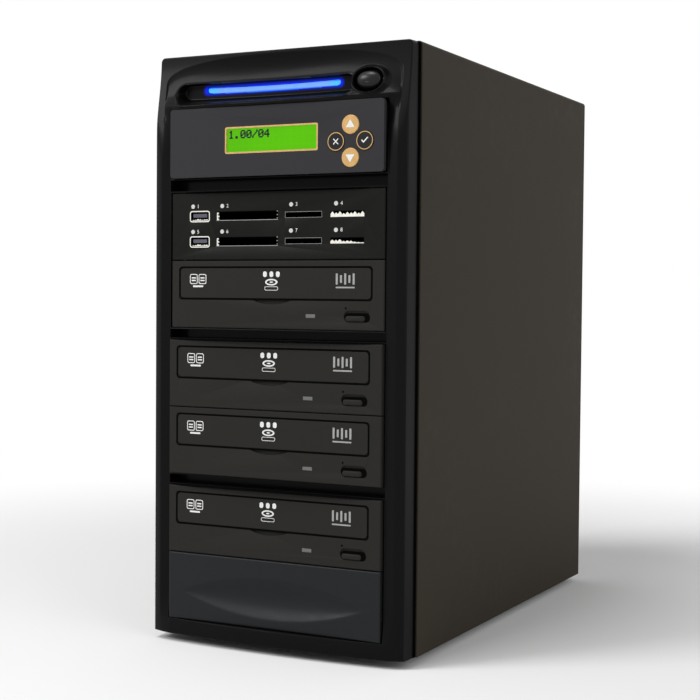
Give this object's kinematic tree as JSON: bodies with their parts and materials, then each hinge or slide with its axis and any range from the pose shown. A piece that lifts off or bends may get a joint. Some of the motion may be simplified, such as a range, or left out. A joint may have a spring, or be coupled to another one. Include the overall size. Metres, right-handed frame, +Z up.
{
  "type": "cd dvd duplicator tower",
  "caption": "Standalone disc duplicator: drives with sliding trays, a card reader and a keyed control panel stacked behind a bowed bezel in a steel case with feet.",
  "frame": {"origin": "middle of the underside of the whole box, on the surface that the feet stand on", "axes": "+Z up, +X to the right seen from the front, +Y into the case, so the drives face -Y"},
  "size_m": [0.18, 0.3258, 0.368],
  "materials": {
    "case_steel": "fine satin black-brown paint",
    "inner_steel": "bright zinc",
    "bezel_plastic": "satin near-black",
    "drive_plastic": "fine matt warm black",
    "panel_plastic": "fine matt blue-grey",
    "blank_plastic": "satin slate",
    "gloss_black": "polished black",
    "light_clear": "lit blue",
    "screen_green": "lit yellow-green",
    "key_gold": "gold print",
    "key_dark": "dark grey with a gold ring",
    "board_green": "solder mask",
    "contact_metal": "bright nickel",
    "black_plastic": "matt black",
    "grey_plastic": "matt grey",
    "rubber_black": "matt black",
    "lamp_clear": "frosted clear",
    "cable_red": "red cable sheath",
    "screw_zinc": "bright zinc"
  },
  "bodies": {
    "tower": {"chassis_frame": "inner_steel", "outer_cover": "case_steel", "rubber_feet": "rubber_black", "drive_cage_left": "inner_steel", "drive_cage_right": "inner_steel", "front_bezel": "bezel_plastic", "light_bar": "light_clear", "power_switch": "black_plastic", "lcd_panel": "panel_plastic", "lcd_display": "screen_green", "key_board": "board_green", "controller_board": "board_green", "card_reader_face": "drive_plastic", "card_reader_shell": "inner_steel", "reader_boards": "board_green", "usb_sockets": "contact_metal", "flash_sockets": "contact_metal", "small_card_sockets": "contact_metal", "reader_leds": "lamp_clear", "drive_leds": "lamp_clear", "drive_decks": "black_plastic", "bay_blank": "blank_plastic", "fan_frames": "black_plastic", "psu_case": "inner_steel", "power_inlet": "black_plastic", "switch_housing": "black_plastic", "rear_screws": "screw_zinc", "drive_cables": "cable_red", "drive_1_bezel": "drive_plastic", "drive_1_case": "inner_steel", "drive_2_bezel": "drive_plastic", "drive_2_case": "inner_steel", "drive_3_bezel": "drive_plastic", "drive_3_case": "inner_steel", "drive_4_bezel": "drive_plastic", "drive_4_case": "inner_steel"},
    "power_button": {"power_button": "gloss_black"},
    "key_up": {"key_up": "key_gold"},
    "key_down": {"key_down": "key_gold"},
    "key_back": {"key_back": "key_dark"},
    "key_ok": {"key_ok": "key_dark"},
    "drive_1_tray": {"drive_1_tray": "black_plastic", "drive_1_tray_door": "drive_plastic"},
    "drive_1_turntable": {"drive_1_turntable": "grey_plastic"},
    "drive_1_eject_button": {"drive_1_eject_button": "drive_plastic"},
    "drive_2_tray": {"drive_2_tray": "black_plastic", "drive_2_tray_door": "drive_plastic"},
    "drive_2_turntable": {"drive_2_turntable": "grey_plastic"},
    "drive_2_eject_button": {"drive_2_eject_button": "drive_plastic"},
    "drive_3_tray": {"drive_3_tray": "black_plastic", "drive_3_tray_door": "drive_plastic"},
    "drive_3_turntable": {"drive_3_turntable": "grey_plastic"},
    "drive_3_eject_button": {"drive_3_eject_button": "drive_plastic"},
    "drive_4_tray": {"drive_4_tray": "black_plastic", "drive_4_tray_door": "drive_plastic"},
    "drive_4_turntable": {"drive_4_turntable": "grey_plastic"},
    "drive_4_eject_button": {"drive_4_eject_button": "drive_plastic"},
    "fan_rotor": {"fan_rotor": "black_plastic"},
    "psu_fan_rotor": {"psu_fan_rotor": "black_plastic"},
    "rocker_switch": {"rocker_switch": "black_plastic"}
  },
  "joints": [
    {"name": "power_button_press", "type": "slide", "parent": "tower", "child": "power_button", "axis": [0, 1, 0], "range_m": [0, 0.002], "stiffness_N_per_m": 400},
    {"name": "key_up_press", "type": "slide", "parent": "tower", "child": "key_up", "axis": [0, 1, 0], "range_m": [0, 0.0005], "stiffness_N_per_m": 800},
    {"name": "key_down_press", "type": "slide", "parent": "tower", "child": "key_down", "axis": [0, 1, 0], "range_m": [0, 0.0005], "stiffness_N_per_m": 800},
    {"name": "key_back_press", "type": "slide", "parent": "tower", "child": "key_back", "axis": [0, 1, 0], "range_m": [0, 0.0005], "stiffness_N_per_m": 800},
    {"name": "key_ok_press", "type": "slide", "parent": "tower", "child": "key_ok", "axis": [0, 1, 0], "range_m": [0, 0.0005], "stiffness_N_per_m": 800},
    {"name": "drive_1_tray_slide", "type": "slide", "parent": "tower", "child": "drive_1_tray", "axis": [0, -1, 0], "range_m": [0, 0.138]},
    {"name": "drive_1_turntable_spin", "type": "hinge", "parent": "tower", "child": "drive_1_turntable", "pos_m": [0, -0.08485, 0.2187], "axis": [0, 0, 1], "continuous": true},
    {"name": "drive_1_eject_press", "type": "slide", "parent": "tower", "child": "drive_1_eject_button", "axis": [0, 1, 0], "range_m": [0, 0.0012], "stiffness_N_per_m": 500},
    {"name": "drive_2_tray_slide", "type": "slide", "parent": "tower", "child": "drive_2_tray", "axis": [0, -1, 0], "range_m": [0, 0.138]},
    {"name": "drive_2_turntable_spin", "type": "hinge", "parent": "tower", "child": "drive_2_turntable", "pos_m": [0, -0.08735, 0.1695], "axis": [0, 0, 1], "continuous": true},
    {"name": "drive_2_eject_press", "type": "slide", "parent": "tower", "child": "drive_2_eject_button", "axis": [0, 1, 0], "range_m": [0, 0.0012], "stiffness_N_per_m": 500},
    {"name": "drive_3_tray_slide", "type": "slide", "parent": "tower", "child": "drive_3_tray", "axis": [0, -1, 0], "range_m": [0, 0.138]},
    {"name": "drive_3_turntable_spin", "type": "hinge", "parent": "tower", "child": "drive_3_turntable", "pos_m": [0, -0.08735, 0.1274], "axis": [0, 0, 1], "continuous": true},
    {"name": "drive_3_eject_press", "type": "slide", "parent": "tower", "child": "drive_3_eject_button", "axis": [0, 1, 0], "range_m": [0, 0.0012], "stiffness_N_per_m": 500},
    {"name": "drive_4_tray_slide", "type": "slide", "parent": "tower", "child": "drive_4_tray", "axis": [0, -1, 0], "range_m": [0, 0.138]},
    {"name": "drive_4_turntable_spin", "type": "hinge", "parent": "tower", "child": "drive_4_turntable", "pos_m": [0, -0.08735, 0.0782], "axis": [0, 0, 1], "continuous": true},
    {"name": "drive_4_eject_press", "type": "slide", "parent": "tower", "child": "drive_4_eject_button", "axis": [0, 1, 0], "range_m": [0, 0.0012], "stiffness_N_per_m": 500},
    {"name": "fan_rotor_spin", "type": "hinge", "parent": "tower", "child": "fan_rotor", "pos_m": [0, 0.14665, 0.245], "axis": [0, 1, 0], "continuous": true},
    {"name": "psu_fan_rotor_spin", "type": "hinge", "parent": "tower", "child": "psu_fan_rotor", "pos_m": [-0.03, 0.14665, 0.049], "axis": [0, 1, 0], "continuous": true},
    {"name": "rocker_switch_tilt", "type": "hinge", "parent": "tower", "child": "rocker_switch", "pos_m": [0.044, 0.15785, 0.062], "axis": [0, 0, 1], "range_deg": [0, 12]}
  ]
}
